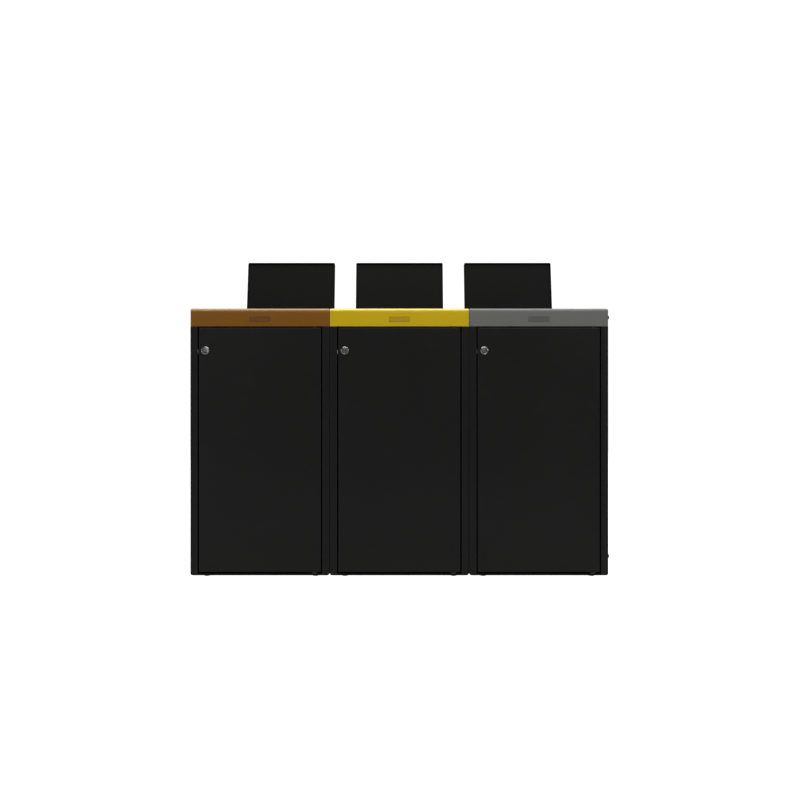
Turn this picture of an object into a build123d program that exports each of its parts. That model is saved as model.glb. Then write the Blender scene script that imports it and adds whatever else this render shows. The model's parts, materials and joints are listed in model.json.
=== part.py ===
from build123d import *
import math
import os

# Recycling bin station: three cabinets in a row, each with a coloured top cover, a flip lid
# standing open, a lockable front door and an inner bin. Millimetres, +Z up, front towards -Y.
# Inside the functions, y is the depth behind the front faces and x is from the cabinet's middle.

# Driving dimensions
streams = ["brown", "yellow", "grey"]
pitch = 500.0
cabinet_gap = 1.0
depth = 575.0
sheet = 1.5
cover_sheet = 2.0

# Heights above the floor
base_bottom_z = 7.7
tray_top_z = 14.0
post_top_z = 899.2
cover_bottom_z = 900.4
cover_top_z = 965.1

# Posts and folded side panels
post_face = 26.25
jamb_depth = 17.0
rear_flange = 20.0
top_flange = 20.0
fold_radius = 2.0
post_corner_radius = 9.0
post_relief_depth = 25.0

# Base tray
tray_sheet = 2.0
tray_clearance = 0.35
anchor_hole_radius = 5.5
anchor_spacing_x = 300.0
anchor_spacing_y = 340.0

# Levelling feet
foot_inset_x = 53.0
foot_inset_y = 30.0
foot_radius = 12.5
foot_pad_height = 4.0
foot_hex_flats = 13.0
stem_radius = 4.0
stem_above_tray = 2.0
foot_nut_height = 4.6

# Door
door_gap = 4.25
door_bottom_gap = 4.7
door_top_gap = 3.8
door_depth = 20.0
door_flange = 14.0
stiffener_width = 60.0
stiffener_depth = 14.0
stiffener_brim = 12.0
pivot_from_door_edge = 24.0
pivot_depth = 10.0

# Door pivots
pin_radius = 4.0
pin_block = 14.0
pin_block_height = 24.0
upper_pin_rise = 12.0
bush_running_clearance = 0.05
bush_radius = 5.5
upper_collar_radius = 6.8
lower_collar_radius = 11.0
collar_clearance = 0.4
bush_length = 9.0

# Lock
lock_from_door_edge = 23.5
lock_below_door_top = 82.0
lock_flange_radius = 14.0
lock_flange_proud = 2.5
barrel_radius = 9.4
barrel_length = 17.0
core_radius = 7.5
core_clearance = 0.05
core_square = 8.0
core_chamfer = 0.5
ring_nut_radius = 13.0
ring_nut_thickness = 4.0
key_slot = (1.6, 8.0, 1.4)
cam_gap = 0.5
cam_thickness = 2.5
cam_width = 16.0
cam_reach = 42.0
keeper_thickness = 2.5
keeper_height = 15.0
keeper_showing = 2.0
keeper_grip = 14.0
keeper_below_lock = 4.0

# Top cover and deposit opening
cover_edge_radius = 8.0
cover_corner_radius = 3.0
opening_width = 330.0
opening_depth = 267.0
opening_from_hinge = 20.0
chute_clearance = 0.5
chute_flange = 12.0
chute_rise = 7.9
chute_drop = 85.0
label_width = 75.0
label_height = 18.0
label_thickness = 0.6
label_z = 927.0

# Lid and its hinge
hinge_from_rear = 30.0
hinge_rise = 6.9
lid_side_cover = 35.5
lid_front_cover = 14.4
lid_rear_gap = 6.0
lid_thickness = 10.0
lid_rim = 7.5
lid_above_axis = 3.0
lid_corner_radius = 6.0
edge_softness = 0.3
lid_open_deg = 96.7
knuckle_radius = 5.0
knuckle_gap = 0.5
knuckle_length = 60.0
knuckle_count = 5
hinge_pin_radius = 2.0
leaf_length = 40.0
stop_face_from_axis = 15.9
stop_pad_thickness = 3.0
stop_height = 28.0
stop_pad_height = 13.0

# Inner bin
bin_from_front = 118.0
bin_left_room = 28.25
bin_right_room = 48.25
bin_head_room = 39.2
bin_wall = 1.5
bin_rear_gap = 20.0
bin_rim = 8.0
bin_rim_thickness = 3.0
hand_slot = (110.0, 32.0)
hand_slot_below_rim = 45.0
bin_corner_radius = 20.0
guide_height = 20.0
guide_clearance = 1.5
guide_end_gap = 15.0

# Joining bolts
bolt_radius = 4.0
bolt_hole_radius = 4.5
bolt_head_radius = 7.0
bolt_head_height = 4.6
bolt_head_rounding = 3.22
bolt_grip_end = 9.0
bolt_inset = 9.2
bolt_rear_inset = 35.0
bolt_low_z = 75.0
bolt_high_z = 933.0
frame_ease = 0.3
nut_flats = 13.0
nut_height = 6.5

# Door stop and its buffers
stop_lip_gap = 2.5
stop_lip_drop = 16.0
stop_lip_clear_of_pivot = 45.0
buffer_radius = 6.0
buffer_clearance = 0.3
buffer_inset_x = 30.0

# Places worked out from the sizes above
cabinet_width = pitch - cabinet_gap
half_width = cabinet_width / 2
jamb_x = half_width - post_face
door_half_width = jamb_x - door_gap
door_bottom_z = tray_top_z + door_bottom_gap
door_top_z = post_top_z - door_top_gap
pivot_x = door_half_width - pivot_from_door_edge
lock_x = -door_half_width + lock_from_door_edge
lock_z = door_top_z - lock_below_door_top
bush_hole_radius = bush_radius + bush_running_clearance
cam_y = door_depth + cam_gap
frame_outer_x = half_width - cover_sheet
frame_top_z = cover_top_z - cover_sheet
hinge_y = depth - hinge_from_rear
hinge_z = cover_top_z + hinge_rise
lid_under_z = hinge_z + lid_above_axis
lid_rear_y = hinge_y - lid_rear_gap
opening_rear_y = hinge_y - opening_from_hinge
opening_front_y = opening_rear_y - opening_depth
lid_front_y = opening_front_y - lid_front_cover
lid_length = lid_rear_y - lid_front_y
lid_width = opening_width + 2 * lid_side_cover
back_panel_y = depth - sheet
bin_rear_y = back_panel_y - sheet - bin_rear_gap
bin_front_y = bin_from_front
bin_width = 2 * jamb_x - bin_left_room - bin_right_room
bin_shift_x = (bin_left_room - bin_right_room) / 2
bin_height = post_top_z - tray_top_z - bin_head_room
foot_rear_y = depth - foot_inset_y
lid_lean = math.radians(lid_open_deg - 90)
lid_back_y = hinge_y + (lid_above_axis + lid_thickness) * math.cos(lid_lean)
lid_back_y += (lid_length + lid_rear_gap) * math.sin(lid_lean)
front_y = -(lid_back_y - lock_flange_proud) / 2


def block(low, high):
    middle = [(a + b) / 2 for a, b in zip(low, high)]
    return Pos(*middle) * Box(*[b - a for a, b in zip(low, high)])


def rod_x(radius, y, z, start, end):
    return Pos((start + end) / 2, y, z) * Rot(0, 90, 0) * Cylinder(radius, end - start)


def rod_y(radius, x, z, start, end):
    return Pos(x, (start + end) / 2, z) * Rot(90, 0, 0) * Cylinder(radius, end - start)


def rod_z(radius, x, y, start, end):
    return Pos(x, y, (start + end) / 2) * Cylinder(radius, end - start)


def hex_prism(flats, height):
    outline = RegularPolygon(flats / 2, 6, major_radius=False)
    return Pos(0, 0, -height / 2) * extrude(outline, height)


def both_sides(shape):
    return shape + mirror(shape, Plane.YZ)


def together(shapes):
    # Separate solids of one kind, kept apart in one node.
    return Compound(children=[solid for shape in shapes for solid in shape.solids()])


def edges_at(shape, axis, **place):
    # Edges along an axis whose middle has the given coordinates.
    found = shape.edges().filter_by(axis)
    for letter, value in place.items():
        found = [e for e in found if abs(getattr(e.center(), letter) - value) < 0.01]
    return found


def soft_block(low, high, top_radius, corner_radius):
    # A block with rounded top edges and rounded upright corners.
    plain = block(low, high)
    over_y = fillet(edges_at(plain, Axis.Y, Z=high[2]), top_radius)
    over_x = fillet(edges_at(plain, Axis.X, Z=high[2]), top_radius)
    upright = fillet(plain.edges().filter_by(Axis.Z), corner_radius)
    return over_y & over_x & upright


def side_panel():
    # The right-hand panel: wall, post face and jamb in front, flanges behind and on top.
    inner_x = half_width - sheet
    wall = block((inner_x, 0, base_bottom_z), (half_width, depth, post_top_z))
    face = block((jamb_x, 0, base_bottom_z), (half_width, sheet, post_top_z))
    jamb = block((jamb_x, 0, base_bottom_z), (jamb_x + sheet, jamb_depth, post_top_z))
    panel = wall + face + jamb
    flange_low = (half_width - rear_flange, depth - sheet, base_bottom_z)
    panel += block(flange_low, (half_width, depth, post_top_z))
    panel = fillet(edges_at(panel, Axis.Z, X=half_width, Y=0), fold_radius)
    panel = fillet(edges_at(panel, Axis.Z, X=half_width, Y=depth), fold_radius)
    top_low = (half_width - top_flange, sheet, post_top_z - sheet)
    panel += block(top_low, (inner_x, depth - sheet, post_top_z))
    panel -= post_corner_cut()
    for y in bolt_depths():
        panel -= rod_x(bolt_hole_radius, y, bolt_low_z, inner_x - sheet, half_width + sheet)
    return panel


def post_corner_cut():
    # Rounds the post's lower outer corner over the first stretch behind the face.
    r = post_corner_radius
    corner = block(
        (half_width - r, -sheet, base_bottom_z - sheet),
        (half_width + sheet, post_relief_depth, base_bottom_z + r),
    )
    keep = rod_y(r, half_width - r, base_bottom_z + r, -2 * sheet, post_relief_depth + sheet)
    return corner - keep


def bolt_depths():
    return (bolt_inset, depth - bolt_rear_inset)


def back_panel():
    half = half_width - sheet - tray_clearance
    return block(
        (-half, back_panel_y - sheet, base_bottom_z),
        (half, back_panel_y, post_top_z - sheet - tray_clearance),
    )


def foot_places():
    aside = half_width - foot_inset_x
    return [(x, y) for x in (-aside, aside) for y in (foot_inset_y, foot_rear_y)]


def anchor_places():
    middle_y = depth / 2 + foot_inset_y
    half_x, half_y = anchor_spacing_x / 2, anchor_spacing_y / 2
    return [(x, middle_y + y) for x in (-half_x, half_x) for y in (-half_y, half_y)]


def base_tray():
    # Floor with lips folded down; narrower in front, where it passes between the jambs.
    under_z = tray_top_z - tray_sheet
    wide = half_width - sheet - tray_clearance
    narrow = jamb_x - tray_clearance
    notch_y = jamb_depth + tray_clearance
    rear_y = back_panel_y - sheet
    tray = block((-wide, notch_y, under_z), (wide, rear_y, tray_top_z))
    tray += block((-narrow, tray_clearance, under_z), (narrow, notch_y, tray_top_z))
    front_end = tray_clearance + tray_sheet
    tray += block((-narrow, tray_clearance, base_bottom_z), (narrow, front_end, under_z))
    tray += block((-wide, rear_y - tray_sheet, base_bottom_z), (wide, rear_y, under_z))
    tray += both_sides(block((wide - tray_sheet, notch_y, base_bottom_z), (wide, rear_y, under_z)))
    for x, y in foot_places():
        tray -= rod_z(stem_radius + tray_clearance, x, y, base_bottom_z, tray_top_z + sheet)
    for x, y in anchor_places():
        tray -= rod_z(anchor_hole_radius, x, y, base_bottom_z, tray_top_z + sheet)
    return tray - rod_z(bush_hole_radius, pivot_x, pivot_depth, base_bottom_z, tray_top_z + sheet)


def levelling_foot(x, y):
    under_z = tray_top_z - tray_sheet
    nut_z = under_z - foot_nut_height
    pad = rod_z(foot_radius, x, y, 0, foot_pad_height)
    pad = chamfer(pad.edges().group_by(Axis.Z)[-1], foot_pad_height / 3)
    neck_height = nut_z - foot_pad_height - tray_clearance
    neck = Pos(x, y, foot_pad_height + neck_height / 2) * hex_prism(foot_hex_flats, neck_height)
    return pad + neck + rod_z(stem_radius, x, y, foot_pad_height, tray_top_z + stem_above_tray)


def foot_nut(x, y):
    under_z = tray_top_z - tray_sheet
    nut = Pos(x, y, under_z - foot_nut_height / 2) * hex_prism(nut_flats, foot_nut_height)
    bore = stem_radius + bush_running_clearance
    return nut - rod_z(bore, x, y, base_bottom_z - foot_nut_height, under_z + sheet)


def top_frame():
    # Ring of channel inside the cover, with spanner gaps at the front bolts and the door's stop lip.
    x, front, rear = frame_outer_x, cover_sheet, depth - cover_sheet
    low, high = post_top_z, frame_top_z
    edge_radius = cover_edge_radius - cover_sheet + frame_ease
    corner_radius = cover_corner_radius - cover_sheet + frame_ease
    ring = soft_block((-x, front, low), (x, rear, high), edge_radius, corner_radius)
    ring -= block((-x + sheet, front + sheet, low + sheet), (x - sheet, rear - sheet, high - sheet))
    middle_low = (-jamb_x, front + 2 * door_depth, low - sheet)
    ring -= block(middle_low, (jamb_x, rear - rear_flange, high + sheet))
    spanner_width = bolt_head_height + nut_height
    spanner_low = (x - sheet - spanner_width, front - sheet, low + sheet)
    ring -= both_sides(block(spanner_low, (x - sheet, front + sheet, high - edge_radius)))
    lip_y = door_depth + stop_lip_gap
    lip_low = (-door_half_width + sheet, lip_y, low - stop_lip_drop)
    ring += block(lip_low, (pivot_x - stop_lip_clear_of_pivot, lip_y + sheet, low))
    for y in bolt_depths():
        holes = rod_x(bolt_hole_radius, y, bolt_high_z, x - 2 * sheet, x + sheet)
        ring -= both_sides(holes)
    return ring - rod_z(bush_hole_radius, pivot_x, pivot_depth, low - sheet, low + 2 * sheet)


def top_cover():
    # Folded cover with a downturned skirt and the cut-out for the chute.
    outer = soft_block(
        (-half_width, 0, cover_bottom_z),
        (half_width, depth, cover_top_z),
        cover_edge_radius,
        cover_corner_radius,
    )
    inner = soft_block(
        (-frame_outer_x, cover_sheet, cover_bottom_z - cover_edge_radius),
        (frame_outer_x, depth - cover_sheet, frame_top_z),
        cover_edge_radius - cover_sheet,
        cover_corner_radius - cover_sheet,
    )
    cover = outer - inner - opening_prism(frame_top_z - sheet, cover_top_z + sheet)
    for y in bolt_depths():
        holes = rod_x(bolt_hole_radius, y, bolt_high_z, frame_outer_x - sheet, half_width + sheet)
        cover -= both_sides(holes)
    return cover


def opening_prism(low_z, high_z, grow=0.0):
    # The deposit opening as a prism, grown or shrunk evenly all round.
    half = opening_width / 2 + grow
    return block(
        (-half, opening_front_y - grow, low_z),
        (half, opening_rear_y + grow, high_z),
    )


def chute():
    # Drop-in liner of the opening: flat flange, low upstand and a deep collar.
    collar_top = cover_top_z + chute_rise
    walls = opening_prism(cover_top_z - chute_drop, collar_top, -chute_clearance)
    flange = opening_prism(cover_top_z, cover_top_z + sheet, chute_flange)
    hollow_low = cover_top_z - chute_drop - sheet
    hollow = opening_prism(hollow_low, collar_top + sheet, -chute_clearance - sheet)
    return walls + flange - hollow


def label_plate():
    plate = block(
        (-label_width / 2, -label_thickness, label_z - label_height / 2),
        (label_width / 2, 0, label_z + label_height / 2),
    )
    return fillet(plate.edges().filter_by(Axis.Y), label_height / 6)


def knuckle_spans(first):
    # Every second knuckle along the hinge, starting with number first.
    step = knuckle_length + knuckle_gap
    start = -(knuckle_count * step - knuckle_gap) / 2
    return [(start + i * step, start + i * step + knuckle_length) for i in range(first, knuckle_count, 2)]


def hinge_half():
    return knuckle_spans(0)[-1][1]


def bored(shape):
    bore = hinge_pin_radius + bush_running_clearance
    return shape - rod_x(bore, hinge_y, hinge_z, -hinge_half() - 1, hinge_half() + 1)


def lid_hinge_base():
    # Fixed leaf on the cover: a foot plate, the lid's stop flange and three knuckles.
    half = hinge_half()
    stop_y = hinge_y + stop_face_from_axis + stop_pad_thickness
    front = opening_rear_y + chute_flange + sheet
    base = block((-half, front, cover_top_z), (half, stop_y + sheet, cover_top_z + sheet))
    base += block((-half, stop_y, cover_top_z), (half, stop_y + sheet, cover_top_z + stop_height))
    for start, end in knuckle_spans(0):
        web_low = (start, hinge_y - knuckle_radius / 2, cover_top_z)
        base += block(web_low, (end, hinge_y + knuckle_radius / 2, hinge_z))
        base += rod_x(knuckle_radius, hinge_y, hinge_z, start, end)
    return bored(base)


def lid_hinge_pin():
    half = hinge_half() + 1.0
    return rod_x(hinge_pin_radius, hinge_y, hinge_z, -half, half)


def opened(shape):
    # Swings a closed lid piece up to where it stands open.
    return shape.rotate(Axis((0, hinge_y, hinge_z), (1, 0, 0)), -lid_open_deg)


def lid_hinge_leaf():
    # Moving leaf, drawn closed: a plate under the lid with two knuckles.
    start, end = knuckle_spans(1)[0][0], knuckle_spans(1)[-1][1]
    top = lid_under_z
    leaf = block((start, lid_rear_y - leaf_length, top - sheet), (end, lid_rear_y, top))
    for knuckle_start, knuckle_end in knuckle_spans(1):
        tongue_low = (knuckle_start, lid_rear_y, top - sheet)
        leaf += block(tongue_low, (knuckle_end, hinge_y, top))
        leaf += rod_x(knuckle_radius, hinge_y, hinge_z, knuckle_start, knuckle_end)
    return opened(bored(leaf))


def lid_body(grow, low_z, high_z, top_radius, corner_radius):
    half = lid_width / 2 + grow
    return soft_block(
        (-half, lid_front_y - grow, low_z),
        (half, lid_rear_y + grow, high_z),
        top_radius,
        corner_radius,
    )


def lid():
    # Outer tray of the lid, drawn closed: skin, edges, and a rim past the liner on three sides.
    top_z = lid_under_z + lid_thickness
    outer = lid_body(0, lid_under_z - lid_rim, top_z, fold_radius, lid_corner_radius)
    inner_radius = lid_corner_radius - sheet
    inner = lid_body(-sheet, lid_under_z - 2 * lid_rim, top_z - sheet, edge_softness, inner_radius)
    half = lid_width / 2 - sheet
    rear_gap = block(
        (-half, lid_rear_y - lid_corner_radius, lid_under_z - 2 * lid_rim),
        (half, lid_rear_y + sheet, lid_under_z),
    )
    return opened(outer - inner - rear_gap)


def lid_liner():
    # Flat closing plate inside the lid, with its edge folded up to the skin.
    top_z = lid_under_z + lid_thickness - sheet
    corner = lid_corner_radius - sheet
    pan = lid_body(-sheet, lid_under_z, top_z, edge_softness, corner)
    hollow = lid_body(-2 * sheet, lid_under_z + sheet, top_z + sheet, edge_softness, corner - sheet)
    return opened(pan - hollow)


def door():
    # Folded pan: front skin, four edges and a rear flange all round.
    half = door_half_width
    outer = block((-half, 0, door_bottom_z), (half, door_depth, door_top_z))
    outer = fillet(outer.faces().sort_by(Axis.Y)[0].edges(), fold_radius)
    cavity = block(
        (-half + sheet, sheet, door_bottom_z + sheet),
        (half - sheet, door_depth - sheet, door_top_z - sheet),
    )
    window = block(
        (-half + door_flange, sheet, door_bottom_z + door_flange),
        (half - door_flange, door_depth + sheet, door_top_z - door_flange),
    )
    panel = outer - cavity - window
    panel -= rod_y(barrel_radius + bush_running_clearance, lock_x, lock_z, -sheet, 2 * sheet)
    relief = lock_flange_radius + sheet
    panel -= rod_y(relief, lock_x, lock_z, sheet, door_depth + sheet)
    hole = pin_radius + bush_running_clearance
    for z in (door_bottom_z, door_top_z):
        panel -= rod_z(hole, pivot_x, pivot_depth, z - 2 * sheet, z + 2 * sheet)
    return panel


def door_stiffener():
    # Hat-section upright behind the middle of the skin.
    low_z, high_z = door_bottom_z + sheet, door_top_z - sheet
    half, crown_y = stiffener_width / 2, sheet + stiffener_depth
    hat = block((-half, sheet, low_z), (half, crown_y, high_z))
    hat -= block((-half + sheet, 0, low_z - 1), (half - sheet, crown_y - sheet, high_z + 1))
    brim = block((half - sheet, sheet, low_z), (half + stiffener_brim, 2 * sheet, high_z))
    return hat + both_sides(brim)


def door_pins():
    # Upper and lower pivot pins, each on a block that is welded inside the pan.
    half = pin_block / 2
    upper_low = door_top_z - pin_block_height
    pins = []
    for block_z, pin_start, pin_end in (
        (door_bottom_z + sheet, tray_top_z - bush_length + sheet, door_bottom_z + pin_block_height),
        (upper_low - sheet, upper_low, door_top_z + upper_pin_rise),
    ):
        seat = block(
            (pivot_x - half, sheet, block_z),
            (pivot_x + half, door_depth - sheet, block_z + pin_block_height),
        )
        pins.append(seat + rod_z(pin_radius, pivot_x, pivot_depth, pin_start, pin_end))
    return together(pins)


def pivot_bushes():
    # Flanged bushes: the lower one carries the door, the upper one guides it.
    bore = pin_radius + bush_running_clearance
    lower_top = door_bottom_z - collar_clearance
    lower = rod_z(lower_collar_radius, pivot_x, pivot_depth, tray_top_z, lower_top)
    lower += rod_z(bush_radius, pivot_x, pivot_depth, tray_top_z - bush_length / 2, lower_top)
    upper_low = door_top_z + collar_clearance
    upper = rod_z(upper_collar_radius, pivot_x, pivot_depth, upper_low, post_top_z)
    upper += rod_z(bush_radius, pivot_x, pivot_depth, upper_low, post_top_z + bush_length / 2)
    through = rod_z(bore, pivot_x, pivot_depth, 0, cover_top_z)
    return together([lower - through, upper - through])


def lock_barrel():
    # Bezel and threaded barrel, with the ring nut that clamps it to the skin.
    bezel = rod_y(lock_flange_radius, lock_x, lock_z, -lock_flange_proud, 0)
    bezel = fillet(bezel.edges().group_by(Axis.Y)[0], lock_flange_proud / 3)
    recess_radius = (lock_flange_radius + core_radius) / 2
    bezel -= rod_y(recess_radius, lock_x, lock_z, -2 * lock_flange_proud, -lock_flange_proud / 2)
    barrel = bezel + rod_y(barrel_radius, lock_x, lock_z, -lock_flange_proud / 2, barrel_length)
    core_bore = rod_y(core_radius + core_clearance, lock_x, lock_z, -lock_flange_proud, 2 * barrel_length)
    nut = rod_y(ring_nut_radius, lock_x, lock_z, sheet, sheet + ring_nut_thickness)
    nut -= rod_y(barrel_radius + core_clearance, lock_x, lock_z, 0, door_depth)
    return together([barrel - core_bore, nut])


def lock_core():
    # Turning plug with a key slot in front and a square tail for the cam.
    tail_end = cam_y + cam_thickness + sheet
    plug = rod_y(core_radius, lock_x, lock_z, -lock_flange_proud, barrel_length)
    plug = chamfer(plug.edges().group_by(Axis.Y)[0], core_chamfer)
    half = core_square / 2
    plug += block((lock_x - half, barrel_length, lock_z - half), (lock_x + half, tail_end, lock_z + half))
    slot_width, slot_height, slot_depth = key_slot
    return plug - block(
        (lock_x - slot_width / 2, -lock_flange_proud - 1, lock_z - slot_height / 2),
        (lock_x + slot_width / 2, -lock_flange_proud + slot_depth, lock_z + slot_height / 2),
    )


def lock_cam():
    # Plate on the plug's tail, hanging down while unlocked.
    half = cam_width / 2
    cam = block((lock_x - half, cam_y, lock_z - cam_reach), (lock_x + half, cam_y + cam_thickness, lock_z))
    cam += rod_y(half, lock_x, lock_z, cam_y, cam_y + cam_thickness)
    hole = core_square / 2 + core_clearance
    return cam - block(
        (lock_x - hole, cam_y - 1, lock_z - hole),
        (lock_x + hole, cam_y + 2 * cam_thickness, lock_z + hole),
    )


def lock_keeper():
    # Steel plate on the left jamb that the turned cam reaches behind.
    middle_z = lock_z - keeper_below_lock
    end_y = cam_y - cam_gap
    low = (-jamb_x - keeper_grip, end_y - keeper_thickness, middle_z - keeper_height / 2)
    high = (-jamb_x + keeper_showing, end_y, middle_z + keeper_height / 2)
    return block(low, high)


def inner_bin():
    # Open bin with a turned-out rim and hand slots in front and behind.
    half = bin_width / 2
    low = (bin_shift_x - half, bin_front_y, tray_top_z)
    high = (bin_shift_x + half, bin_rear_y, tray_top_z + bin_height)
    outer = fillet(block(low, high).edges().filter_by(Axis.Z), bin_corner_radius)
    rim_low = (low[0] - bin_rim, low[1] - bin_rim, high[2] - bin_rim_thickness)
    rim = block(rim_low, (high[0] + bin_rim, high[1] + bin_rim, high[2]))
    rim = fillet(rim.edges().filter_by(Axis.Z), bin_corner_radius + bin_rim)
    hollow = block(
        (low[0] + bin_wall, low[1] + bin_wall, low[2] + bin_wall),
        (high[0] - bin_wall, high[1] - bin_wall, high[2] + bin_wall),
    )
    hollow = fillet(hollow.edges().filter_by(Axis.Z), bin_corner_radius - bin_wall)
    width, height = hand_slot
    slot_top = high[2] - hand_slot_below_rim
    slot = block(
        (bin_shift_x - width / 2, low[1] - bin_rim, slot_top - height),
        (bin_shift_x + width / 2, high[1] + bin_rim, slot_top),
    )
    slot = fillet(slot.edges().filter_by(Axis.Y), height / 3)
    return outer + rim - hollow - slot


def bin_guides():
    # An angle strip on the tray on each side of the bin.
    guides = []
    for side in (-1, 1):
        face_x = bin_shift_x + side * (bin_width / 2 + guide_clearance)
        foot_x = face_x + side * guide_height
        web_x = face_x + side * sheet
        front, rear = bin_front_y + guide_end_gap, bin_rear_y - guide_end_gap
        foot_low = (min(face_x, foot_x), front, tray_top_z)
        strip = block(foot_low, (max(face_x, foot_x), rear, tray_top_z + sheet))
        web_low = (min(face_x, web_x), front, tray_top_z)
        strip += block(web_low, (max(face_x, web_x), rear, tray_top_z + guide_height))
        guides.append(strip)
    return together(guides)


def rubber_buffers():
    # Pads where the door and the open lid come to rest.
    start, end = door_depth + buffer_clearance, door_depth + stop_lip_gap
    z = post_top_z - stop_lip_drop / 2
    inset = door_half_width - buffer_inset_x
    pads = [rod_y(buffer_radius, x, z, start, end) for x in (-inset, pivot_x - 2 * buffer_inset_x)]
    face = hinge_y + stop_face_from_axis
    top = cover_top_z + stop_height
    for side in (-1, 1):
        x = side * hinge_half() * 2 / 3
        low = (x - stop_pad_height, face, top - stop_pad_height)
        pads.append(block(low, (x + stop_pad_height, face + stop_pad_thickness, top)))
    return together(pads)


def joint_faces():
    # Where the bolts clamp, as x from a seam: the wall's inner face low down and up in the cover.
    low_face = cabinet_gap / 2 + sheet
    high_face = cabinet_gap / 2 + cover_sheet + sheet
    return ((bolt_low_z, low_face), (bolt_high_z, high_face))


def joining_bolt(y, z, seat_x, end_x):
    # Dome head that bears on seat_x, with its shank running to end_x on the left.
    head = rod_x(bolt_head_radius, y, z, seat_x, seat_x + bolt_head_height)
    head = fillet(head.edges().group_by(Axis.X)[-1], bolt_head_rounding)
    return head + rod_x(bolt_radius, y, z, end_x, seat_x)


def joining_nut(y, z, seat_x):
    nut = Pos(seat_x - nut_height / 2, y, z) * Rot(0, 90, 0) * hex_prism(nut_flats, nut_height)
    bore = bolt_radius + bush_running_clearance
    return nut - rod_x(bore, y, z, seat_x - 2 * nut_height, seat_x + nut_height)


def joining_set(seam_x, last):
    # The four bolts and nuts at one seam; the last seam is the station's right-hand end.
    bolts, nuts = [], []
    for y in bolt_depths():
        for z, face in joint_faces():
            seat = seam_x - cabinet_gap / 2 if last else seam_x + face
            bolts.append(joining_bolt(y, z, seat, seam_x - face - bolt_grip_end))
            nuts.append(joining_nut(y, z, seam_x - face))
    return bolts, nuts


def cabinet_pieces():
    # Every piece that each cabinet repeats as a node of its own.
    right = side_panel()
    return {
        "left_side": mirror(right, Plane.YZ),
        "right_side": right,
        "back_panel": back_panel(),
        "base_tray": base_tray(),
        "top_frame": top_frame(),
        "top_cover": top_cover(),
        "lid": lid(),
        "lid_liner": lid_liner(),
        "lid_hinge_leaf": lid_hinge_leaf(),
        "door": door(),
        "door_stiffener": door_stiffener(),
        "door_pins": door_pins(),
        "lock_barrel": lock_barrel(),
        "lock_core": lock_core(),
        "lock_cam": lock_cam(),
        "inner_bin": inner_bin(),
    }


def shared_pieces():
    # Small pieces that are alike in every cabinet, gathered by kind.
    return {
        "chutes": [chute()],
        "label_plates": [label_plate()],
        "lid_hinge_bases": [lid_hinge_base()],
        "lid_hinge_pins": [lid_hinge_pin()],
        "lock_keepers": [lock_keeper()],
        "levelling_feet": [levelling_foot(x, y) for x, y in foot_places()],
        "foot_nuts": [foot_nut(x, y) for x, y in foot_places()],
        "pivot_bushes": [pivot_bushes()],
        "rubber_buffers": [rubber_buffers()],
        "bin_guides": [bin_guides()],
    }


def cabinet_xs():
    middle = (len(streams) - 1) / 2
    return [(i - middle) * pitch for i in range(len(streams))]


def station():
    # All nodes of the station in the shared frame.
    nodes = {}
    pieces, shared = cabinet_pieces(), shared_pieces()
    for stream, x in zip(streams, cabinet_xs()):
        for name, shape in pieces.items():
            nodes[f"{stream}_{name}"] = Pos(x, front_y, 0) * shape
    for name, shapes in shared.items():
        nodes[name] = together([Pos(x, front_y, 0) * s for x in cabinet_xs() for s in shapes])
    bolts, nuts = [], []
    for x in cabinet_xs():
        found = joining_set(x + pitch / 2, x == cabinet_xs()[-1])
        bolts += [Pos(0, front_y, 0) * s for s in found[0]]
        nuts += [Pos(0, front_y, 0) * s for s in found[1]]
    nodes["joining_bolts"] = together(bolts)
    nodes["joining_nuts"] = together(nuts)
    return nodes


os.makedirs("parts", exist_ok=True)
nodes = station()
for name, shape in nodes.items():
    export_step(shape, f"parts/{name}.step")
print(len(nodes), "nodes")
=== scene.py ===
import json
import math
import bmesh
import bpy
from mathutils import Matrix, Vector


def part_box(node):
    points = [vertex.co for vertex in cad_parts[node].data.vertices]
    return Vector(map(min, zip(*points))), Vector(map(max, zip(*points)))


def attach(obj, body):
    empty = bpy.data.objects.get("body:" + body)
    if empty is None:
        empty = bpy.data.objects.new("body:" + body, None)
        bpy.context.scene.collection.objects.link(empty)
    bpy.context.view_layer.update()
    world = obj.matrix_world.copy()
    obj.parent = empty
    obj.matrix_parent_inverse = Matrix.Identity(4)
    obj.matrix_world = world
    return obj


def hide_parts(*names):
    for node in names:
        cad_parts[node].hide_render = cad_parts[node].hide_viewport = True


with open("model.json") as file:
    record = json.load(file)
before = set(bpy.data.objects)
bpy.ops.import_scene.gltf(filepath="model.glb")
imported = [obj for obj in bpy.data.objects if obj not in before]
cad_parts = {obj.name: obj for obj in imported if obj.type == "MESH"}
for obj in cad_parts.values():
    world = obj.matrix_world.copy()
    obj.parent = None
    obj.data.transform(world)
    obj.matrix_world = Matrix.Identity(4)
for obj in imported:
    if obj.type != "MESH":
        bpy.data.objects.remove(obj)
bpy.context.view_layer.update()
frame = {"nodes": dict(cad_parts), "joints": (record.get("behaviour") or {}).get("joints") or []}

nodes = frame["nodes"]
streams = ["brown", "yellow", "grey"]
mm = 0.001
pitch = 0.5  # from one cabinet to the next
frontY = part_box("yellow_left_side")[0].y  # plane of the post faces
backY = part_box("yellow_left_side")[1].y
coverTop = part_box("yellow_top_cover")[1].z
jointNamed = {joint["name"]: joint for joint in frame["joints"]}
print("frame loaded:", len(nodes), "nodes")


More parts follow.
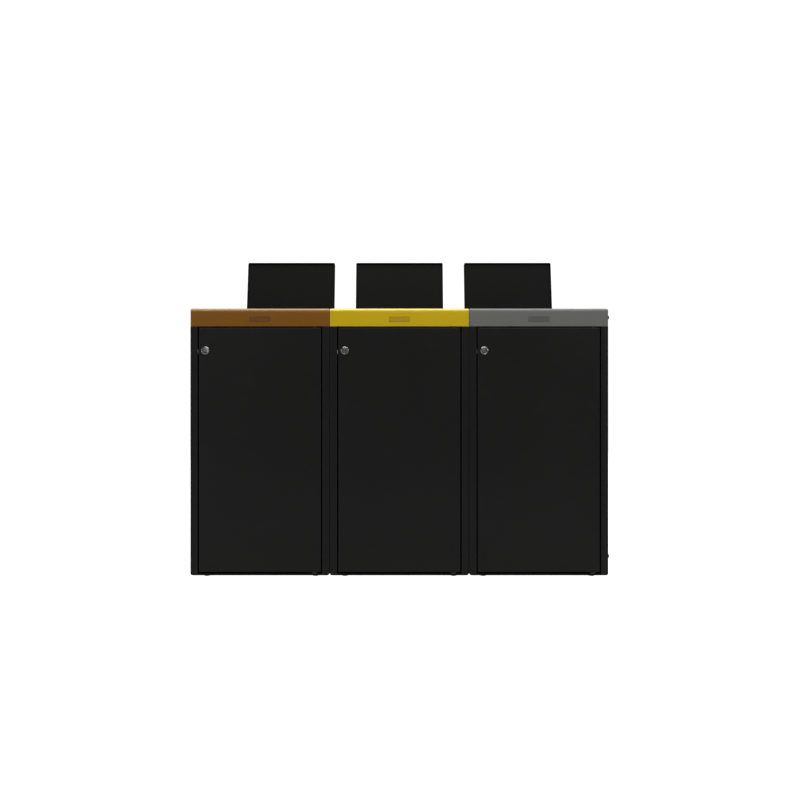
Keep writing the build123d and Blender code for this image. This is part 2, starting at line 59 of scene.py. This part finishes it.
class Wire:
    # a socket with arithmetic: each operator adds one Math node
    def __init__(self, web, socket):
        self.web = web
        self.socket = socket

    def calc(self, operation, *others):
        values = dict(enumerate([self, *others]))
        return self.web.put("ShaderNodeMath", {"operation": operation}, values)

    def __add__(self, other):
        return self.calc("ADD", other)

    def __radd__(self, other):
        return self.calc("ADD", other)

    def __sub__(self, other):
        return self.calc("SUBTRACT", other)

    def __rsub__(self, other):
        return self.web.put("ShaderNodeMath", {"operation": "SUBTRACT"}, {0: other, 1: self})

    def __mul__(self, other):
        return self.calc("MULTIPLY", other)

    def __rmul__(self, other):
        return self.calc("MULTIPLY", other)

    def smaller(self, other):
        return self.calc("MINIMUM", other)

    def size(self):
        return self.calc("ABSOLUTE")


class Web:
    # the node tree of a material or of the surroundings
    def __init__(self, owner):
        owner.use_nodes = True
        self.owner = owner
        self.tree = owner.node_tree

    def link(self, value, socket):
        if isinstance(value, Wire):
            self.tree.links.new(value.socket, socket)
        else:
            socket.default_value = value

    def put(self, kind, settings=None, values=None, out=0):
        node = self.tree.nodes.new(kind)
        for key, value in (settings or {}).items():
            setattr(node, key, value)
        for key, value in (values or {}).items():
            self.link(value, node.inputs[key])
        return Wire(self, node.outputs[out])

    def place(self):
        return self.put("ShaderNodeTexCoord", out=3)

    def axes(self):
        split = self.put("ShaderNodeSeparateXYZ", values={0: self.place()})
        return [Wire(self, socket) for socket in split.socket.node.outputs]

    def noise(self, scale, detail=2.0, rough=0.5, where=None):
        values = {"Vector": where or self.place(), "Scale": scale, "Detail": detail, "Roughness": rough}
        return self.put("ShaderNodeTexNoise", values=values)

    def step(self, value, low, high):
        settings = {"interpolation_type": "SMOOTHSTEP", "clamp": True}
        return self.put("ShaderNodeMapRange", settings, {"Value": value, 1: low, 2: high})

    def blend(self, amount, first, second):
        colours = [(*c, 1) if isinstance(c, tuple) else c for c in (first, second)]
        values = {0: amount, 6: colours[0], 7: colours[1]}
        return self.put("ShaderNodeMix", {"data_type": "RGBA"}, values, out=2)

    def bump(self, height, strength, distance):
        values = {"Strength": strength, "Distance": distance, "Height": height}
        return self.put("ShaderNodeBump", values=values)

    def feed(self, shader, **values):
        for key, value in values.items():
            self.link(value, self.tree.nodes[shader].inputs[key.replace("_", " ")])
        return self.owner


def newWeb(name):
    return Web(bpy.data.materials.new(name))


blackCoat = {
    "colour": (0.0075, 0.0075, 0.0073),
    "faded": (0.0100, 0.0100, 0.0096),
    "roughness": 0.38,
    "gloss": 0.16,
    "grain": 1500.0,
    "grainDepth": 0.00006,
    "dust": (0.060, 0.055, 0.046),
    "dustHeight": 0.16,
    "dustAmount": 0.10,
}
lidCoat = {
    **blackCoat,
    "colour": (0.0056, 0.0056, 0.0055),
    "faded": (0.0078, 0.0078, 0.0076),
    "roughness": 0.50,
    "gloss": 0.03,
}
# a darker copy of the black coat: painted shade on the base tray and top frame, in the gaps under and over
# the doors
paintedShadeCoat = {
    **blackCoat,
    "colour": (0.0028, 0.0028, 0.0028),
    "faded": (0.0036, 0.0036, 0.0036),
    "gloss": 0.04,
}
postCoatAndShade = {
    **blackCoat,
    "returnPaintedShade": (0.0010, 0.0010, 0.0010),  # painted shade inside the fold
    "returnAside": (0.2249, 0.2252),  # from the middle of a cabinet
    "returnBehind": (0.0012, 0.0018),  # behind the post faces
}
coverCoat = {"roughness": 0.29, "grain": 950.0, "grainDepth": 0.00005}
coverShades = {
    "brown": {
        "colour": (0.149, 0.0590, 0.0040),
        "faded": (0.169, 0.0710, 0.0090),
        "highlightColour": (0.40, 0.228, 0.084),
        "gloss": 0.46,
    },
    "yellow": {
        "colour": (0.445, 0.303, 0.0020),
        "faded": (0.478, 0.333, 0.0080),
        "highlightColour": (0.80, 0.65, 0.115),
        "gloss": 0.56,
    },
    "grey": {
        "colour": (0.113, 0.115, 0.106),
        "faded": (0.126, 0.127, 0.118),
        "highlightColour": (0.205, 0.207, 0.196),
        "gloss": 0.12,
    },
}
# painted highlight: a paler line along the bend of a cover; metres below its top, and the share of its soft
# lower tail
paintedBendHighlight = {"crest": 0.0034, "from": 0.0052, "to": 0.0066, "end": 0.0092, "fade": 0.0170, "tail": 0.24}
mottle = {"clouds": 3.2, "patches": 14.0, "specks": 420.0, "dust": 22.0, "paintedHighlight": 30.0}


def powderCoat(name, coat):
    # fine orange peel, slow changes of tone, faint worn patches and dust low down; on covers a painted
    # highlight along the top bend, on posts painted shade in the folds
    web = newWeb(name)
    cloud = web.noise(mottle["clouds"], 3.0)
    patches = web.step(web.noise(mottle["patches"], 4.0, 0.6), 0.55, 0.75)
    specks = web.step(web.noise(mottle["specks"], 1.0), 0.70, 0.78)
    tone = (cloud * 0.7 + patches * 0.25 + specks * 0.25).smaller(1.0)
    colour = web.blend(tone, coat["colour"], coat["faded"])
    rough = coat["roughness"] + (cloud - 0.5) * 0.10 + patches * 0.05
    if "dust" in coat:
        height = web.axes()[2]
        low = 1 - web.step(height, 0.0, coat["dustHeight"])
        dust = low * low * web.noise(mottle["dust"], 5.0, 0.65) * coat["dustAmount"]
        colour = web.blend(dust, colour, coat["dust"])
        rough = rough + dust * 0.6
    # covers: a paler line along the top bend, a painted highlight
    if "highlightColour" in coat:
        colour = web.blend(paintedHighlight(web), colour, coat["highlightColour"])
    # posts: painted shade on the folded returns beside the doors
    if "returnPaintedShade" in coat:
        colour = web.blend(returnShadeMask(web, coat), colour, coat["returnPaintedShade"])
    peel = web.noise(coat["grain"], 2.0) + web.noise(coat["grain"] * 0.3, 1.0) * 0.6
    normal = web.bump(peel, 0.35, coat["grainDepth"])
    values = {"Specular_IOR_Level": coat["gloss"], "Roughness": rough, "Normal": normal}
    return web.feed("Principled BSDF", Base_Color=colour, **values)


# mask of the painted highlight along the top bend of a cover, broken up by noise
def paintedHighlight(web):
    below = coverTop - web.axes()[2]
    bend = web.step(below, paintedBendHighlight["crest"], paintedBendHighlight["from"])
    line = (1 - web.step(below, paintedBendHighlight["to"], paintedBendHighlight["end"])) * (1 - paintedBendHighlight["tail"])
    tail = (1 - web.step(below, paintedBendHighlight["end"], paintedBendHighlight["fade"])) * paintedBendHighlight["tail"]
    return bend * (line + tail) * (web.noise(mottle["paintedHighlight"], 4.0) * 0.5 + 0.65)


def returnShadeMask(web, coat):
    # painted shade on the folded sides of the posts, seen through the gaps beside the doors
    x, depth, height = web.axes()
    wrapped = web.put("ShaderNodeMath", {"operation": "WRAP"}, {0: x, 1: pitch / 2, 2: -pitch / 2})
    inner = 1 - web.step(wrapped.size(), *coat["returnAside"])
    near, far = coat["returnBehind"]
    return inner * web.step(depth, frontY + near, frontY + far)


def mouldedPlastic(name, colour, roughness, grain):
    # leather-like mould grain, a little paler where it is worn smooth
    web = newWeb(name)
    values = {"Vector": web.place(), "Scale": grain}
    cells = web.put("ShaderNodeTexVoronoi", {"feature": "SMOOTH_F1"}, values)
    cloud = web.noise(9.0, 3.0)
    tone = web.blend(cloud, colour, tuple(c * 1.25 for c in colour))
    rough = roughness + (cloud - 0.5) * 0.12
    normal = web.bump(cells, 0.3, 0.00012)
    return web.feed("Principled BSDF", Base_Color=tone, Roughness=rough, Normal=normal)


def plainMetal(name, colour, roughness, grain, stretch):
    # drawn or turned metal: fine lines stretched along one axis, small stains
    web = newWeb(name)
    stretched = web.put("ShaderNodeVectorMath", {"operation": "MULTIPLY"}, {0: web.place(), 1: stretch})
    lines = web.noise(grain, 3.0, 0.6, stretched)
    stain = web.noise(60.0, 3.0)
    tone = web.blend(web.step(stain, 0.35, 0.75), colour, tuple(c * 0.78 for c in colour))
    rough = roughness + (lines - 0.5) * 0.22 + (stain - 0.5) * 0.08
    normal = web.bump(lines, 0.15, 0.00005)
    return web.feed("Principled BSDF", Base_Color=tone, Roughness=rough, Normal=normal, Metallic=1.0)


def galvanised(name):
    # zinc spangle: cells of slightly different tone and gloss
    web = newWeb(name)
    cells = web.put("ShaderNodeTexVoronoi", values={"Vector": web.place(), "Scale": 120.0}, out=1)
    grey = web.put("ShaderNodeRGBToBW", values={0: cells})
    tone = web.blend(grey, (0.40, 0.41, 0.42), (0.58, 0.59, 0.60))
    return web.feed("Principled BSDF", Base_Color=tone, Roughness=0.36 + grey * 0.22, Metallic=1.0)


# each cover's colour darkened as painted shade on its label plate
labelPaintedShades = {
    "brown": (0.108, 0.047, 0.0060),
    "yellow": (0.335, 0.225, 0.0060),
    "grey": (0.078, 0.080, 0.072),
}


def labelFinish():
    # one blank plate on each cover, in that cover's colour darkened as painted shade
    web = newWeb("labelPlatesWithPaintedShade")
    across = web.axes()[0]
    left = web.step(across, -pitch / 2 - mm, -pitch / 2 + mm)
    right = web.step(across, pitch / 2 - mm, pitch / 2 + mm)
    shade = web.blend(left, labelPaintedShades["brown"], labelPaintedShades["yellow"])
    shade = web.blend(right, shade, labelPaintedShades["grey"])
    rough = 0.45 + (web.noise(80.0, 2.0) - 0.5) * 0.1
    normal = web.bump(web.noise(1200.0, 2.0), 0.2, 0.00004)
    values = {"Specular_IOR_Level": 0.2, "Roughness": rough, "Normal": normal}
    return web.feed("Principled BSDF", Base_Color=shade, **values)


drawn, turned = (1.0, 1.0, 6.0), (1.0, 1.0, 1.0)
finishes = {
    "black": powderCoat("blackPowderCoat", blackCoat),
    "postBlackAndShade": powderCoat("postPowderCoat", postCoatAndShade),
    "paintedShadeBlack": powderCoat("insidePowderCoat", paintedShadeCoat),
    "lidBlack": powderCoat("lidPowderCoat", lidCoat),
    "rubber": mouldedPlastic("blackRubber", (0.012, 0.012, 0.012), 0.72, 1400.0),
    "binPlastic": mouldedPlastic("binPlastic", (0.022, 0.022, 0.023), 0.48, 900.0),
    "nylon": mouldedPlastic("footNylon", (0.020, 0.020, 0.020), 0.45, 1600.0),
    "bush": mouldedPlastic("bushNylon", (0.016, 0.016, 0.016), 0.5, 1600.0),
    "zinc": plainMetal("zincPlate", (0.56, 0.56, 0.54), 0.34, 260.0, drawn),
    "blackBolt": plainMetal("blackedSteel", (0.030, 0.030, 0.031), 0.42, 260.0, drawn),
    "bezel": plainMetal("polishedBezel", (0.39, 0.39, 0.38), 0.18, 500.0, turned),
    "chrome": plainMetal("satinChrome", (0.31, 0.31, 0.305), 0.38, 500.0, turned),
    "galvanised": galvanised("galvanised"),
    "label": labelFinish(),
}
for stream in streams:
    finishes[stream] = powderCoat(stream + "PowderCoat", {**coverCoat, **coverShades[stream]})
print("finishes made:", len(finishes))

streamFinish = {
    "black": ["back_panel", "door", "door_stiffener"],
    "postBlackAndShade": ["left_side", "right_side"],
    "paintedShadeBlack": ["base_tray", "top_frame"],
    "lidBlack": ["lid", "lid_liner", "lid_hinge_leaf"],
    "binPlastic": ["inner_bin"],
    "chrome": ["lock_barrel", "lock_core"],
    "zinc": ["lock_cam", "door_pins"],
}
sharedFinish = {
    "black": ["chutes", "lid_hinge_bases"],
    "label": ["label_plates"],
    "zinc": ["lid_hinge_pins", "lock_keepers", "foot_nuts", "joining_nuts"],
    "nylon": ["levelling_feet"],
    "bush": ["pivot_bushes"],
    "rubber": ["rubber_buffers"],
    "galvanised": ["bin_guides"],
    "blackBolt": ["joining_bolts"],
}


def giveFinish(name, finish):
    materials = nodes[name].data.materials
    materials.clear()
    materials.append(finishes[finish])


for stream in streams:
    giveFinish(f"{stream}_top_cover", stream)
    for finish, names in streamFinish.items():
        for name in names:
            giveFinish(f"{stream}_{name}", finish)
for finish, names in sharedFinish.items():
    for name in names:
        giveFinish(name, finish)
print("nodes coated")


def joinRings(shape, rings, loop=False):
    # faces between neighbouring rings of points; one point makes a tip, and loop joins last to first
    pairs = list(zip(rings, rings[1:]))
    if loop:
        pairs.append((rings[-1], rings[0]))
    for first, second in pairs:
        for i in range(max(len(first), len(second))):
            corners = [first[i % len(first)], first[(i + 1) % len(first)]]
            corners += [second[(i + 1) % len(second)], second[i % len(second)]]
            kept = list(dict.fromkeys(corners))
            if len(kept) > 2:
                shape.faces.new(kept)


def spun(profile, steps=40, loop=False, wave=0.0):
    # turned about its own Z from (radius, height) pairs in mm; wave cuts a grip into every other step
    shape = bmesh.new()
    rings = []
    for radius, height in profile:
        turn = []
        for i in range(steps if radius else 1):
            angle = 2 * math.pi * i / steps
            reach = radius - wave * (i % 2)
            turn.append(shape.verts.new((reach * math.cos(angle), reach * math.sin(angle), height)))
        rings.append(turn)
    joinRings(shape, rings, loop)
    return shape


def roundedLoop(halfWidth, halfDepth, radius, cornerSteps=8):
    # points of a rounded rectangle, mm
    points = []
    corners = ((1, 1, 0), (-1, 1, 90), (-1, -1, 180), (1, -1, 270))
    for signX, signY, start in corners:
        for i in range(cornerSteps + 1):
            angle = math.radians(start + 90 * i / cornerSteps)
            x = signX * (halfWidth - radius) + radius * math.cos(angle)
            y = signY * (halfDepth - radius) + radius * math.sin(angle)
            points.append(Vector((x, y, 0)))
    return points


def bead(points, radius, sides=10):
    # round bead along a closed flat loop of points, mm
    shape = bmesh.new()
    rings = []
    for i, point in enumerate(points):
        along = (points[(i + 1) % len(points)] - points[i - 1]).normalized()
        out = along.cross(Vector((0, 0, 1)))
        ring = []
        for k in range(sides):
            angle = 2 * math.pi * k / sides
            offset = out * math.cos(angle) * radius + Vector((0, 0, math.sin(angle) * radius))
            ring.append(shape.verts.new(point + offset))
        rings.append(ring)
    joinRings(shape, rings, loop=True)
    return shape


def quarter(steps=6):
    # cosines and sines of a quarter turn
    angles = [math.radians(90 * i / steps) for i in range(steps + 1)]
    return [(math.cos(angle), math.sin(angle)) for angle in angles]


def scaled(profile, radius, height):
    return [(radius * r, height * h) for r, h in profile]


def facing(direction, place):
    # moves a shape drawn in mm, with its Z pointing along a direction, to a place in metres
    turn = Vector(direction).to_track_quat("Z", "Y").to_matrix().to_4x4()
    return Matrix.Translation(Vector(place)) @ turn @ Matrix.Scale(mm, 4)


def gather(shapes):
    # several shapes, each with its own placing, as one mesh
    whole = bmesh.new()
    for shape, placing in shapes:
        shape.transform(placing)
        part = bpy.data.meshes.new("part")
        shape.to_mesh(part)
        shape.free()
        whole.from_mesh(part)
        bpy.data.meshes.remove(part)
    bmesh.ops.recalc_face_normals(whole, faces=whole.faces)
    return whole


def addPiece(name, shapes, body, finish, sharpAngle=35):
    mesh = bpy.data.meshes.new(name)
    whole = gather(shapes)
    whole.to_mesh(mesh)
    whole.free()
    mesh.shade_smooth()
    mesh.set_sharp_from_angle(angle=math.radians(sharpAngle))
    piece = bpy.data.objects.new(name, mesh)
    bpy.context.scene.collection.objects.link(piece)
    mesh.materials.append(finishes[finish])
    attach(piece, body)
    return piece


def middleX(stream):
    return jointNamed[f"{stream}_lid_flip"]["pos_m"][0]


# mm; heights are from the front skin of the door, and profiles are (radius, height) pairs
lock = {
    "bezelRadius": 14.0,
    "bezelProud": 2.5,
    "edgeHeight": 0.9,
    "edgeRoll": 2.4,
    "sunkStep": [(11.0, 2.4), (10.75, 2.0), (10.75, 1.3), (10.4, 1.1), (8.2, 1.1), (8.0, 1.5), (7.65, 1.5)],
    "boreTop": 1.3,
    "bore": 7.55,
    "barrelRadius": 9.4,
    "barrelLength": 17.0,
    "barrelChamfer": (0.6, 0.4),
    "threadPitch": 1.25,
    "threadDepth": 0.45,
    "skin": 1.5,
    "nutRadius": 13.0,
    "nutThickness": 4.0,
    "nutFit": 0.05,
    "nutChamfer": 0.5,
    "nutGrip": 0.35,
    "screwHead": [(0, 0), (4.2, 0), (4.2, 0.99), (3.864, 1.65), (2.94, 2.2)],
    "screwSocket": [(1.9, 2.2), (1.7, 2.0), (1.6, 0.9), (0, 0.7)],
}


def bezelProfile():
    # front ring with a rolled edge and a sunk step, then the threaded barrel behind the skin
    radius, low, top = lock["bezelRadius"], lock["edgeHeight"], lock["bezelProud"]
    rolled = [(radius - lock["edgeRoll"] * (1 - c), low + (top - low) * s) for c, s in quarter()]
    barrel, end = lock["barrelRadius"], -lock["barrelLength"]
    inset, rise = lock["barrelChamfer"]
    inside = [(lock["bore"], lock["boreTop"]), (lock["bore"], end), (barrel - inset, end)]
    thread = []
    height = end + rise
    while height < -lock["skin"] - lock["threadPitch"]:
        thread.append((barrel - lock["threadDepth"], height))
        thread.append((barrel, height + lock["threadPitch"] / 2))
        height += lock["threadPitch"]
    neck = [(barrel, -lock["skin"]), (barrel, 0.0)]
    return [(radius, 0.0)] + rolled + lock["sunkStep"] + inside + thread + neck


def nutProfile():
    inner, outer, bevel = lock["barrelRadius"] + lock["nutFit"], lock["nutRadius"], lock["nutChamfer"]
    near = -lock["skin"]
    far = near - lock["nutThickness"]
    front = [(inner, near), (outer - bevel, near), (outer, near - bevel)]
    return front + [(outer, far + bevel), (outer - bevel, far), (inner, far)]


def makeLock(stream):
    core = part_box(f"{stream}_lock_core")
    middle = (core[0] + core[1]) / 2
    skinY = core[0].y + lock["bezelProud"] * mm
    front = facing((0, -1, 0), (middle.x, skinY, middle.z))
    shapes = [(spun(bezelProfile(), 64, loop=True), front)]
    shapes.append((spun(nutProfile(), 48, loop=True, wave=lock["nutGrip"]), front))
    barrel = addPiece(f"{stream}_lock_bezel", shapes, f"{stream}_door", "bezel", 30)
    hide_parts(f"{stream}_lock_barrel")
    back = facing((0, 1, 0), (middle.x, core[1].y, middle.z))
    screw = [(spun(lock["screwHead"] + lock["screwSocket"], 36), back)]
    addPiece(f"{stream}_cam_screw", screw, f"{stream}_lock", "zinc")


# mm: jamb is from the middle of a cabinet, front and back are behind the post faces
keeperLip = {
    "jamb": 223.25,
    "off": 0.1,
    "width": 1.9,
    "front": 1.2,
    "back": 17.5,
    "height": 13.0,
    "belowLock": 4.0,
    "edge": 0.6,
}


def makeKeeperLip(stream):
    # folded lip of the lock keeper, with a rolled nose that shows in the gap beside the door
    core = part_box(f"{stream}_lock_core")
    middle = (core[0].z + core[1].z) / 2 - keeperLip["belowLock"] * mm
    half, back = keeperLip["width"] / 2, keeperLip["back"]
    shoulder = keeperLip["front"] + half
    outline = [(0.0, back)]
    for i in range(13):
        angle = math.pi * i / 12
        outline.append((half - half * math.cos(angle), shoulder - half * math.sin(angle)))
    outline.append((2 * half, back))
    shape = bmesh.new()
    top, edge = keeperLip["height"] / 2, keeperLip["edge"]
    rings = []
    for height, inset in ((-top, edge), (-top + edge, 0.0), (top - edge, 0.0), (top, edge)):
        rings.append([shape.verts.new((x, min(y + inset, back), height)) for x, y in outline])
    joinRings(shape, rings)
    shape.faces.new(list(reversed(rings[0])))
    shape.faces.new(rings[-1])
    left = middleX(stream) - (keeperLip["jamb"] - keeperLip["off"]) * mm
    placing = Matrix.Translation((left, frontY, middle)) @ Matrix.Scale(mm, 4)
    addPiece(f"{stream}_keeper_lip", [(shape, placing)], "frame", "zinc")


for stream in streams:
    makeLock(stream)
    makeKeeperLip(stream)
print("locks made")

rivet = {
    "radius": 3.3,
    "height": 1.2,
    "hole": 1.25,
    "fromEdge": 10.0,
    "lowest": 60.0,
    "highest": 850.0,
    "count": 6,
}


def rivetHead(kind):
    # domed head with the hollow that its mandrel leaves
    radius, height, hole = kind["radius"], kind["height"], kind["hole"]
    rim = hole + 0.3
    dome = [(rim + (radius - rim) * c, height * s) for c, s in quarter()]
    hollow = [(hole, height - 0.15), (hole * 0.9, height * 0.3), (0, height * 0.25)]
    return spun([(0, 0)] + dome + hollow, 28)


def makeBackRivets(stream):
    left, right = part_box(f"{stream}_left_side"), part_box(f"{stream}_right_side")
    edge = rivet["fromEdge"] * mm
    shapes = []
    for i in range(rivet["count"]):
        height = rivet["lowest"] + (rivet["highest"] - rivet["lowest"]) * i / (rivet["count"] - 1)
        for x in (left[0].x + edge, right[1].x - edge):
            shapes.append((rivetHead(rivet), facing((0, 1, 0), (x, backY, height * mm))))
    addPiece(f"{stream}_back_rivets", shapes, "frame", "blackBolt")


hingeScrew = {
    "radius": 3.6,
    "height": 1.7,
    "behindAxis": 12.0,
    "apart": 90.0,
    "count": 4,
    "plate": 1.5,
    "rim": [(0, 0), (1, 0), (1, 0.4), (0.95, 0.7), (0.8, 0.93), (0.5, 1)],
    "socket": [(0.42, 1), (0.36, 0.4), (0, 0.3)],
}
leafRivet = {
    "radius": 3.0,
    "height": 0.9,
    "hole": 1.1,
    "alongLeaf": 36.0,
    "under": 1.5,
    "apart": 36.0,
    "count": 5,
}


def spread(kind):
    # places across a cabinet, evenly apart, in metres from its middle
    return [(i - (kind["count"] - 1) / 2) * kind["apart"] * mm for i in range(kind["count"])]


def makeHingeFixings(stream):
    x, y, z = jointNamed[f"{stream}_lid_flip"]["pos_m"]
    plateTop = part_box(f"{stream}_top_cover")[1].z + hingeScrew["plate"] * mm
    profile = scaled(hingeScrew["rim"] + hingeScrew["socket"], hingeScrew["radius"], hingeScrew["height"])
    shapes = []
    for aside in spread(hingeScrew):
        placing = facing((0, 0, 1), (x + aside, y + hingeScrew["behindAxis"] * mm, plateTop))
        shapes.append((spun(profile, 30), placing))
    addPiece(f"{stream}_hinge_screws", shapes, "frame", "blackBolt")
    opened = math.radians(jointNamed[f"{stream}_lid_flip"]["range_deg"][1])
    swing = Matrix.Translation((x, y, z)) @ Matrix.Rotation(-opened, 4, "X")
    shapes = []  # the lid stands open at rest, so its rivets are swung with it
    for aside in spread(leafRivet):
        place = (aside, -leafRivet["alongLeaf"] * mm, leafRivet["under"] * mm)
        shapes.append((rivetHead(leafRivet), swing @ facing((0, 0, -1), place)))
    addPiece(f"{stream}_leaf_rivets", shapes, f"{stream}_lid", "blackBolt")


weldMark = {
    "radius": 2.6,
    "height": 0.14,
    "fromEdge": 6.5,
    "step": 92.0,
    "brim": 1.5,
    "profile": [(0, 0), (1, 0), (0.9, 1), (0.6, 1), (0.45, 0.3), (0, 0.2)],
}


def makeWeldMarks(stream):
    low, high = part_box(f"{stream}_door_stiffener")
    edge, step = weldMark["fromEdge"] * mm, weldMark["step"] * mm
    count = int((high.z - low.z) / step)
    start = (low.z + high.z - (count - 1) * step) / 2
    profile = scaled(weldMark["profile"], weldMark["radius"], weldMark["height"])
    shapes = []
    for i in range(count):
        for x in (low.x + edge, high.x - edge):
            place = (x, low.y + weldMark["brim"] * mm, start + i * step)
            shapes.append((spun(profile, 20), facing((0, 1, 0), place)))
    addPiece(f"{stream}_weld_marks", shapes, f"{stream}_door", "black")


for stream in streams:
    makeBackRivets(stream)
    makeHingeFixings(stream)
    makeWeldMarks(stream)
print("fixings made")

bumper = {
    "aside": 188.0,
    "beforeAxis": 283.0,
    "foot": [(0, 0), (6.0, 0), (6.0, 1.0), (5.6, 1.4)],
    "crown": [(4.7, 7.9), (4.4, 8.8), (3.8, 9.4), (3.2, 9.5)],
    "hole": [(2.0, 9.5), (1.8, 9.2), (1.7, 6.5), (0, 6.3)],
}


def makeBumpers(stream):
    x, y, z = jointNamed[f"{stream}_lid_flip"]["pos_m"]
    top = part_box(f"{stream}_top_cover")[1].z
    shapes = []
    for side in (-1, 1):
        place = (x + side * bumper["aside"] * mm, y - bumper["beforeAxis"] * mm, top)
        shape = spun(bumper["foot"] + bumper["crown"] + bumper["hole"], 32)
        shapes.append((shape, facing((0, 0, 1), place)))
    addPiece(f"{stream}_lid_bumpers", shapes, "frame", "rubber")


binRib = {
    "wall": 8.0,
    "corner": 20.0,
    "radius": 2.4,
    "heights": (230.0, 430.0, 630.0),
    "rimRadius": 2.0,
    "rimBelow": 4.2,
}


def makeBinRibs(stream):
    low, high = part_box(f"{stream}_inner_bin")
    centre = (low + high) / 2
    halfWidth = (high.x - low.x) / 2 / mm - binRib["wall"]
    halfDepth = (high.y - low.y) / 2 / mm - binRib["wall"]
    shapes = []
    for height in binRib["heights"]:
        loop = roundedLoop(halfWidth, halfDepth, binRib["corner"])
        placing = facing((0, 0, 1), (centre.x, centre.y, height * mm))
        shapes.append((bead(loop, binRib["radius"]), placing))
    inset = binRib["wall"] - binRib["rimRadius"]
    loop = roundedLoop(halfWidth + inset, halfDepth + inset, binRib["corner"] + inset)
    placing = facing((0, 0, 1), (centre.x, centre.y, high.z - binRib["rimBelow"] * mm))
    shapes.append((bead(loop, binRib["rimRadius"]), placing))
    addPiece(f"{stream}_bin_ribs", shapes, "frame", "binPlastic", 60)


labelRim = {"width": 75.0, "height": 18.0, "corner": 3.0, "radius": 0.45}


def makeLabelRim(stream):
    low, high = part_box("label_plates")
    radius = labelRim["radius"]
    halfWidth, halfHeight = labelRim["width"] / 2 - radius, labelRim["height"] / 2 - radius
    loop = roundedLoop(halfWidth, halfHeight, labelRim["corner"] - radius)
    placing = facing((0, -1, 0), (middleX(stream), low.y, (low.z + high.z) / 2))
    addPiece(f"{stream}_label_rim", [(bead(loop, radius), placing)], "frame", "label", 60)


washer = {
    "profile": [(7.1, 0), (9.0, 0), (9.0, 0.6), (8.6, 1.0), (7.1, 1.0)],
    "heights": (75.0, 933.0),
    "depths": (9.2, 540.0),
}


def makeEndWashers():
    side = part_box("grey_right_side")[1].x
    shapes = []
    for depth in washer["depths"]:
        for height in washer["heights"]:
            place = (side, frontY + depth * mm, height * mm)
            shapes.append((spun(washer["profile"], 40, loop=True), facing((1, 0, 0), place)))
    addPiece("end_washers", shapes, "frame", "blackBolt")


for stream in streams:
    makeBumpers(stream)
    makeBinRibs(stream)
    makeLabelRim(stream)
makeEndWashers()
print("bumpers, ribs, rims and washers made")

stage = {
    "floorSize": 60.0,
    "floorShade": (0.30, 0.30, 0.30, 1),
    "floorSeen": 1.10,
    "floorLit": 0.05,
    "surroundSeen": 1.1,
    "surroundLit": 0.04,
}


def seenOrLit(web, seen, lit):
    # one brightness for what is seen directly and a softer one for light and reflections
    path = web.put("ShaderNodeLightPath")
    return web.blend(path, (lit, lit, lit), (seen, seen, seen))


def makeFloor():
    bpy.ops.mesh.primitive_plane_add(size=stage["floorSize"], location=(0, 0, 0))
    floor = bpy.context.object
    floor.name = "floor"
    web = newWeb("paleFloor")
    glow = seenOrLit(web, stage["floorSeen"], stage["floorLit"])
    values = {"Roughness": 0.9, "Emission_Color": glow, "Emission_Strength": 1.0}
    floor.data.materials.append(web.feed("Principled BSDF", Base_Color=stage["floorShade"], **values))


def makeSurround():
    web = Web(bpy.data.worlds.new("studio"))
    glow = seenOrLit(web, stage["surroundSeen"], stage["surroundLit"])
    bpy.context.scene.world = web.feed("Background", Color=glow)


lights = {
    "overhead": {"place": (0.0, -1.1, 3.4), "aim": (0.0, -1.1, 0.0), "size": (4.0, 3.6), "power": 240.0},
    "left": {"place": (-3.6, -3.0, 1.1), "aim": (0.0, -0.2, 0.6), "size": (1.6, 2.2), "power": 30.0},
    "right": {"place": (3.6, -3.0, 2.2), "aim": (0.0, -0.2, 0.6), "size": (1.6, 2.2), "power": 48.0},
    "backLeft": {"place": (-3.4, 3.0, 1.8), "aim": (0.0, 0.2, 0.6), "size": (1.6, 2.2), "power": 60.0},
    "backRight": {"place": (3.4, 3.0, 1.8), "aim": (0.0, 0.2, 0.6), "size": (1.6, 2.2), "power": 60.0},
}


def makeLights():
    for name, light in lights.items():
        data = bpy.data.lights.new(name, "AREA")
        data.shape = "RECTANGLE"
        data.size, data.size_y = light["size"]
        data.energy = light["power"]
        lamp = bpy.data.objects.new(name, data)
        bpy.context.scene.collection.objects.link(lamp)
        lamp.location = light["place"]
        aim = Vector(light["aim"]) - lamp.location
        lamp.rotation_euler = aim.to_track_quat("-Z", "Y").to_euler()


eye = {"distance": 1.961, "height": 0.6362, "aside": 0.0024, "lens": 24.62, "sensor": 36.0}


def makeCamera():
    data = bpy.data.cameras.new("camera")
    data.lens = eye["lens"]
    data.sensor_width = eye["sensor"]
    camera = bpy.data.objects.new("camera", data)
    bpy.context.scene.collection.objects.link(camera)
    camera.location = (eye["aside"], frontY - eye["distance"], eye["height"])
    camera.rotation_euler = (math.radians(90), 0, 0)
    bpy.context.scene.camera = camera


makeFloor()
makeSurround()
makeLights()
makeCamera()
bpy.context.scene.view_settings.view_transform = "Standard"
bpy.context.scene.view_settings.look = "None"
print("stage, lights and camera ready")
